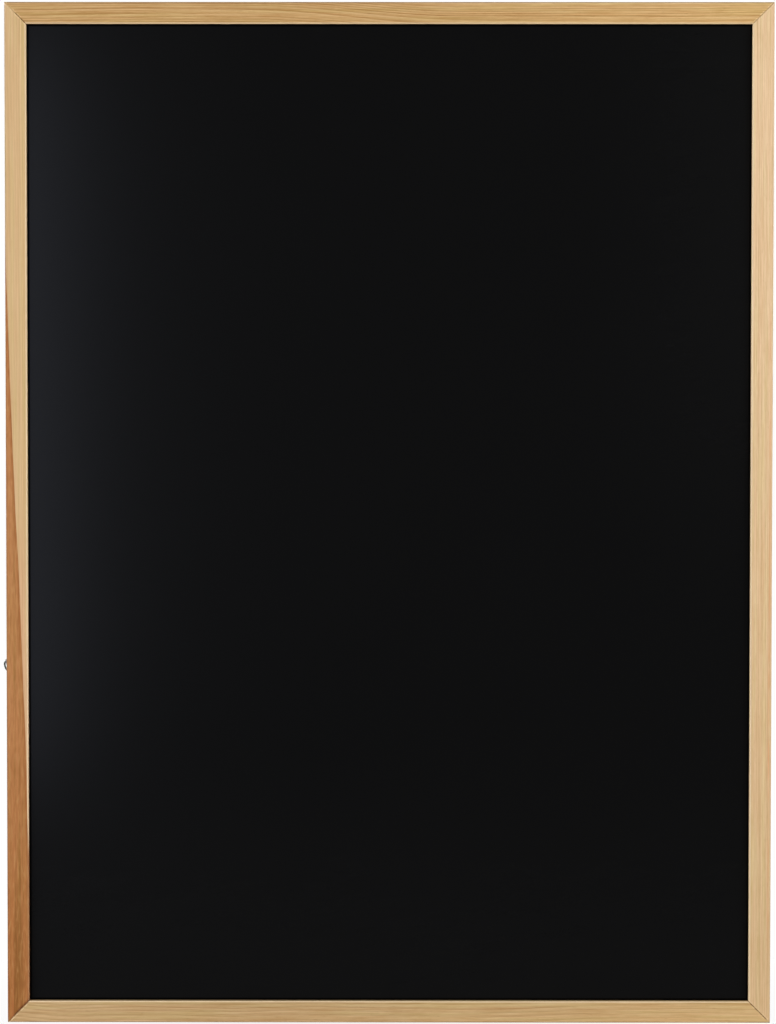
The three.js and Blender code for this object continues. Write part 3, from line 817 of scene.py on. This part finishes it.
def screw_shape(sizes, turn):
    """Pan-head screw with a cross recess and a threaded shank, standing in the strap's hole."""
    shape = bmesh.new()
    seat = sizes.strap_thickness + 2 * sizes.seat_gap
    crown = seat + sizes.head_height
    core = CORE_SHARE * sizes.screw_shank / 2
    cross_recess(shape, sizes, crown)
    outline = screw_outline(sizes, seat, crown, core)
    chain = [shape.verts.new((radius, 0, height)) for radius, height in outline]
    bmesh.ops.spin(
        shape,
        geom=[shape.edges.new(pair) for pair in zip(chain, chain[1:])],
        cent=(0, 0, 0),
        axis=(0, 0, 1),
        angle=2 * math.pi,
        steps=ROUND_SIDES,
        use_merge=True,
        use_duplicate=False,
    )
    bmesh.ops.remove_doubles(shape, verts=shape.verts[:], dist=WELD)
    open_edges = [edge for edge in shape.edges if len(edge.link_faces) == 1]
    tip = [edge for edge in open_edges if edge.verts[0].co.z < 0]
    bmesh.ops.edgeloop_fill(shape, edges=tip)
    bmesh.ops.bridge_loops(shape, edges=[edge for edge in open_edges if edge not in tip])
    around = Matrix.Rotation(math.radians(turn), 3, "Z")
    bmesh.ops.rotate(shape, verts=shape.verts[:], cent=(0, 0, 0), matrix=around)
    thread(shape, sizes, core)
    bmesh.ops.recalc_face_normals(shape, faces=shape.faces[:])
    return shape


def thread(shape, sizes, core):
    """Ridge wound round the screw's core, from its point up to just below its neck."""
    root = core - THREAD_SINK
    crest = sizes.screw_shank / 2 - CREST_SINK
    foot = THREAD_FOOT - sizes.screw_length
    section = [(root, foot - THREAD_HALF_WIDTH), (crest, foot), (root, foot + THREAD_HALF_WIDTH)]
    corners = [shape.verts.new((radius, 0, height)) for radius, height in section]
    ridge = [shape.edges.new((corners[i - 1], corners[i])) for i in range(3)]
    rise = THREAD_TOP - foot
    turns = rise / THREAD_PITCH
    steps = round(turns * THREAD_STEPS)
    last = bmesh.ops.spin(
        shape,
        geom=ridge,
        cent=(0, 0, 0),
        axis=(0, 0, 1),
        dvec=(0, 0, rise / steps),
        angle=2 * math.pi * turns,
        steps=steps,
        use_merge=False,
        use_duplicate=False,
    )["geom_last"]
    bmesh.ops.edgeloop_fill(shape, edges=ridge)
    bmesh.ops.edgeloop_fill(shape, edges=[part for part in last if isinstance(part, bmesh.types.BMEdge)])


def placed(name, shape, seat, material):
    """Finished object of a shape drawn in a hanger's frame, with its place in its mesh."""
    bmesh.ops.transform(shape, matrix=seat, verts=shape.verts[:])
    mesh = bpy.data.meshes.new(name)
    shape.to_mesh(mesh)
    shape.free()
    mesh.shade_smooth()
    mesh.set_sharp_from_angle(angle=SMOOTH_ANGLE)
    mesh.materials.append(material)
    piece = bpy.data.objects.new(name, mesh)
    bpy.context.scene.collection.objects.link(piece)
    return piece


def dress(nodes, material):
    """Gives the solids of some nodes a finish."""
    for name in nodes:
        mesh = frame["nodes"][name].data
        mesh.materials.clear()
        mesh.materials.append(material)


def nodes_like(start):
    """Names of the nodes that start with a word."""
    return [name for name in frame["nodes"] if name.startswith(start)]


class CHALKBOARD_OT_frame_rails(bpy.types.Operator):
    """Finishes the four pine rails, each with the grain of its own piece of wood"""

    bl_idname = "chalkboard.frame_rails"
    bl_label = "Pine Rails"

    def execute(self, context):
        for side in SIDES:
            dress(["rail_" + side], RailWood(side, context.scene.chalkboard_pine).planed())
        return {"FINISHED"}


class CHALKBOARD_OT_panel(bpy.types.Operator):
    """Finishes the writing sheet, its core board and the back panel"""

    bl_idname = "chalkboard.panel"
    bl_label = "Sheet and Backing"

    def execute(self, context):
        looks = context.scene.chalkboard_panel
        dress(["writing_sheet"], enamel(looks))
        dress(["core_board"], fibreboard(looks))
        dress(["back_panel"], hardboard(looks))
        return {"FINISHED"}


class CHALKBOARD_OT_fasteners(bpy.types.Operator):
    """Finishes the framer's points and the V-nails"""

    bl_idname = "chalkboard.fasteners"
    bl_label = "Points and V-Nails"

    def execute(self, context):
        shade = context.scene.chalkboard_metal.galvanised
        dress(nodes_like("point_"), plated("galvanised_points", shade, rough=0.3, patch=2.5, scratch=0.7))
        dress(nodes_like("v_nail_"), plated("galvanised_nails", shade, rough=0.36, patch=1.5, scratch=0.9))
        return {"FINISHED"}


class CHALKBOARD_OT_hanger_straps(bpy.types.Operator):
    """Models the hangers' straps, pressed and rolled from sheet steel"""

    bl_idname = "chalkboard.hanger_straps"
    bl_label = "Hanger Straps"

    def execute(self, context):
        sizes = context.scene.chalkboard_hangers
        zinc = context.scene.chalkboard_metal.zinc
        material = plated("zinc_strap", zinc, rough=0.24, patch=3, scratch=0.8)
        for place in HANGERS:
            seat, reach, eye_height = hanger_seat(place)
            piece = placed("strap_" + place, strap_shape(sizes, reach, eye_height), seat, material)
            wall = piece.modifiers.new("Sheet", "SOLIDIFY")
            wall.thickness = sizes.strap_thickness
            wall.offset = -1
            wall.use_even_offset = True
            edge = piece.modifiers.new("Pressed edges", "BEVEL")
            edge.width = sizes.edge_round
            edge.segments = 3
            edge.limit_method = "ANGLE"
            edge.angle_limit = PRESSED_ANGLE
            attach(piece, "framed_board")
            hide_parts("hanger_strap_" + place)
        return {"FINISHED"}


class CHALKBOARD_OT_hanger_rings(bpy.types.Operator):
    """Models the D-rings, bent from wire, that swing in the straps' eyes"""

    bl_idname = "chalkboard.hanger_rings"
    bl_label = "Hanger Rings"

    def execute(self, context):
        sizes = context.scene.chalkboard_hangers
        wire = context.scene.chalkboard_metal.wire
        material = plated("ring_wire", wire, rough=0.26, patch=1.2, scratch=0.5)
        for place in HANGERS:
            seat, reach, eye_height = hanger_seat(place)
            piece = placed("ring_" + place, ring_shape(sizes, reach, eye_height), seat, material)
            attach(piece, "ring_" + place)
            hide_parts("hanger_ring_" + place)
        return {"FINISHED"}


class CHALKBOARD_OT_hanger_screws(bpy.types.Operator):
    """Models the pan-head screws that hold the straps"""

    bl_idname = "chalkboard.hanger_screws"
    bl_label = "Hanger Screws"

    def execute(self, context):
        sizes = context.scene.chalkboard_hangers
        zinc = context.scene.chalkboard_metal.zinc
        material = plated("zinc_screw", zinc, rough=0.2, patch=0.8, scratch=0.4)
        for place in HANGERS:
            seat = hanger_seat(place)[0]
            piece = placed("screw_" + place, screw_shape(sizes, RECESS_TURNS[place]), seat, material)
            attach(piece, "framed_board")
            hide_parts("hanger_screw_" + place)
        return {"FINISHED"}


# Stage


class StageSetting(bpy.types.PropertyGroup):
    """Light and floor of the studio."""

    floor: colour("Floor", "Plain pale floor", (238, 238, 236))
    ambient: FloatProperty(name="Ambient", description="Light from all round", default=0.3, min=0)
    lamps: power("Lamps", "Power of each large lamp", 54)
    sheen: power("Side lamp", "Power of the sheen's lamp", 0.6)
    lens: FloatProperty(name="Lens", description="Focal length of the camera", default=157.39, min=1)


# Camera in metres and degrees, from the way the frame's corners lie in the picture
CAMERA_PLACE = Vector((0.0114, -3.5202, 0.0205))
CAMERA_YAW = 0.2
CAMERA_PITCH = -2.892
CAMERA_ROLL = 0.029
SENSOR_HEIGHT = 36

# Large lamps round the board, in metres. The front ones stay out of gloss, so that the enamel looks matt.
LAMP_SIZE = (2.2, 1.3)
FRONT_LAMPS = {"lamp_front_left": (-2.6, -2.5, 0.1), "lamp_front_right": (2.6, -2.5, 0.1)}
BACK_LAMPS = {"lamp_back_left": (-2.6, 2.5, 0.1), "lamp_back_right": (2.6, 2.5, 0.1)}

# Small bluish lamp that gives the sheen along the sheet's left side
SHEEN_SIZE = (0.515, 0.7)
SHEEN_PLACE = (-0.576, -0.7, -0.09)
SHEEN_TARGET = (-0.576, 0, -0.09)
SHEEN_TINT = (0.9, 0.97, 1.2)

# Floor: its half width in metres, how white the camera sees it near the board, and the distances from
# there, in millimetres, between which it turns all white
FLOOR_REACH = 30
FLOOR_WHITE = 0.82
FLOOR_FADE = (60, 450)

# Room behind the camera: its light in gloss, and the directions between which it gives way to the backdrop
ROOM_LIGHT = 0.03
ROOM_EDGE = (-0.35, 0.1)


def aimed(place, target):
    """World matrix of a lamp at a place, looking at a target."""
    turn = (target - place).to_track_quat("-Z", "Y").to_matrix().to_4x4()
    return Matrix.Translation(place) @ turn


def soft_lamp(name, place, target, size, power, tint=(1, 1, 1)):
    """Rectangular lamp that the camera doesn't see."""
    light = bpy.data.lights.new(name, "AREA")
    light.shape = "RECTANGLE"
    light.size, light.size_y = size
    light.energy = power
    light.color = tint
    lamp = bpy.data.objects.new(name, light)
    lamp.matrix_world = aimed(Vector(place), Vector(target))
    lamp.visible_camera = False
    bpy.context.scene.collection.objects.link(lamp)
    return lamp


def studio_floor(setting):
    """Wide floor under the board, which keeps the shadow and fades to white for the camera further out."""
    shape = bmesh.new()
    under = Matrix.Translation((0, 0, BOTTOM))
    bmesh.ops.create_grid(shape, x_segments=1, y_segments=1, size=FLOOR_REACH, matrix=under)
    mesh = bpy.data.meshes.new("studio_floor")
    shape.to_mesh(mesh)
    shape.free()
    finish = Finish("studio_floor", **{"Roughness": 0.8, "Specular IOR Level": 0.1})
    tone = finish.noise(finish.x / 900, finish.y / 900, 0, Detail=2)
    shade = finish.tinted(setting.floor, tone, (0.97, 0.97, 0.98))
    finish.lay(**{"Base Color": shade})
    radius = (finish.x**2 + finish.y**2).root()
    seen = Reading(finish, finish.node("ShaderNodeLightPath").outputs["Is Camera Ray"])
    white = finish.node("ShaderNodeEmission", {}, {"Color": (1, 1, 1, 1), "Strength": 1})
    far = radius.rise(*FLOOR_FADE) * (1 - FLOOR_WHITE) + FLOOR_WHITE
    mesh.materials.append(finish.cover(far * seen, white))
    floor = bpy.data.objects.new("studio_floor", mesh)
    floor.visible_glossy = False
    bpy.context.scene.collection.objects.link(floor)


def studio_world(setting):
    """Even light all round, with a white backdrop for camera and gloss and a dark room behind the camera."""
    world = bpy.data.worlds.new("studio")
    bpy.context.scene.world = world
    world.use_nodes = True
    nodes = Nodes(world.node_tree)
    path = nodes.node("ShaderNodeLightPath").outputs
    way = nodes.node("ShaderNodeTexCoord").outputs["Generated"]
    axes = nodes.node("ShaderNodeSeparateXYZ", {}, {0: way}).outputs
    camera, glossy, clear = (
        Reading(nodes, path[kind]) for kind in ("Is Camera Ray", "Is Glossy Ray", "Is Transmission Ray")
    )
    gloss = glossy.most(clear)
    backdrop = Reading(nodes, axes["Y"]).rise(*ROOM_EDGE)
    level = camera.most(gloss * backdrop).most((1 - gloss) * setting.ambient).most(gloss * ROOM_LIGHT)
    sky = nodes.node("ShaderNodeBackground", {}, {"Color": (1, 1, 1, 1), "Strength": level})
    nodes.node("ShaderNodeOutputWorld", {}, {"Surface": sky.outputs[0]})


def studio_camera(setting):
    """Camera in front of the board, where the picture was taken from."""
    camera = bpy.data.cameras.new("camera")
    camera.lens = setting.lens
    camera.sensor_fit = "VERTICAL"
    camera.sensor_height = SENSOR_HEIGHT
    camera.clip_end = 100
    stand = bpy.data.objects.new("camera", camera)
    turn = (
        Matrix.Rotation(math.radians(CAMERA_YAW), 4, "Z")
        @ Matrix.Rotation(math.radians(CAMERA_PITCH), 4, "X")
        @ Matrix.Rotation(math.radians(90), 4, "X")
        @ Matrix.Rotation(math.radians(CAMERA_ROLL), 4, "Z")
    )
    stand.matrix_world = Matrix.Translation(CAMERA_PLACE) @ turn
    bpy.context.scene.collection.objects.link(stand)
    bpy.context.scene.camera = stand


class CHALKBOARD_OT_stage(bpy.types.Operator):
    """Sets up the floor, the lamps, the backdrop and the camera"""

    bl_idname = "chalkboard.stage"
    bl_label = "Studio"

    def execute(self, context):
        setting = context.scene.chalkboard_stage
        studio_floor(setting)
        studio_world(setting)
        for name, place in {**FRONT_LAMPS, **BACK_LAMPS}.items():
            lamp = soft_lamp(name, place, MIDDLE, LAMP_SIZE, setting.lamps)
            lamp.visible_glossy = name in BACK_LAMPS
        soft_lamp("lamp_sheen", SHEEN_PLACE, SHEEN_TARGET, SHEEN_SIZE, setting.sheen, SHEEN_TINT)
        studio_camera(setting)
        context.scene.view_settings.view_transform = "Standard"
        return {"FINISHED"}


class CHALKBOARD_PT_sidebar(bpy.types.Panel):
    """Steps that finish the chalkboard, with the sizes and shades that they use"""

    bl_idname = "CHALKBOARD_PT_sidebar"
    bl_label = "Magnetic Chalkboard"
    bl_space_type = "VIEW_3D"
    bl_region_type = "UI"
    bl_category = "Chalkboard"

    def draw(self, context):
        for group, steps in STEPS.items():
            box = self.layout.box()
            settings = getattr(context.scene, group)
            for name in settings.bl_rna.properties.keys():
                if name not in ("rna_type", "name"):
                    box.prop(settings, name)
            for step in steps:
                box.operator(step.bl_idname)


# Settings of the scene, and the steps that read them, in the order in which they run
STEPS = {
    "chalkboard_pine": (CHALKBOARD_OT_frame_rails,),
    "chalkboard_panel": (CHALKBOARD_OT_panel,),
    "chalkboard_metal": (CHALKBOARD_OT_fasteners,),
    "chalkboard_hangers": (
        CHALKBOARD_OT_hanger_straps,
        CHALKBOARD_OT_hanger_rings,
        CHALKBOARD_OT_hanger_screws,
    ),
    "chalkboard_stage": (CHALKBOARD_OT_stage,),
}
SETTINGS = {
    "chalkboard_pine": PineLooks,
    "chalkboard_panel": PanelLooks,
    "chalkboard_metal": MetalLooks,
    "chalkboard_hangers": HangerSizes,
    "chalkboard_stage": StageSetting,
}


def register():
    for name, group in SETTINGS.items():
        bpy.utils.register_class(group)
        setattr(bpy.types.Scene, name, PointerProperty(type=group))
    for steps in STEPS.values():
        for step in steps:
            bpy.utils.register_class(step)
    bpy.utils.register_class(CHALKBOARD_PT_sidebar)


def unregister():
    bpy.utils.unregister_class(CHALKBOARD_PT_sidebar)
    for steps in STEPS.values():
        for step in steps:
            bpy.utils.unregister_class(step)
    for name, group in SETTINGS.items():
        delattr(bpy.types.Scene, name)
        bpy.utils.unregister_class(group)


def main():
    register()
    bpy.ops.chalkboard.frame_rails()
    bpy.ops.chalkboard.panel()
    bpy.ops.chalkboard.fasteners()
    bpy.ops.chalkboard.hanger_straps()
    bpy.ops.chalkboard.hanger_rings()
    bpy.ops.chalkboard.hanger_screws()
    bpy.ops.chalkboard.stage()


if __name__ == "__main__":
    main()
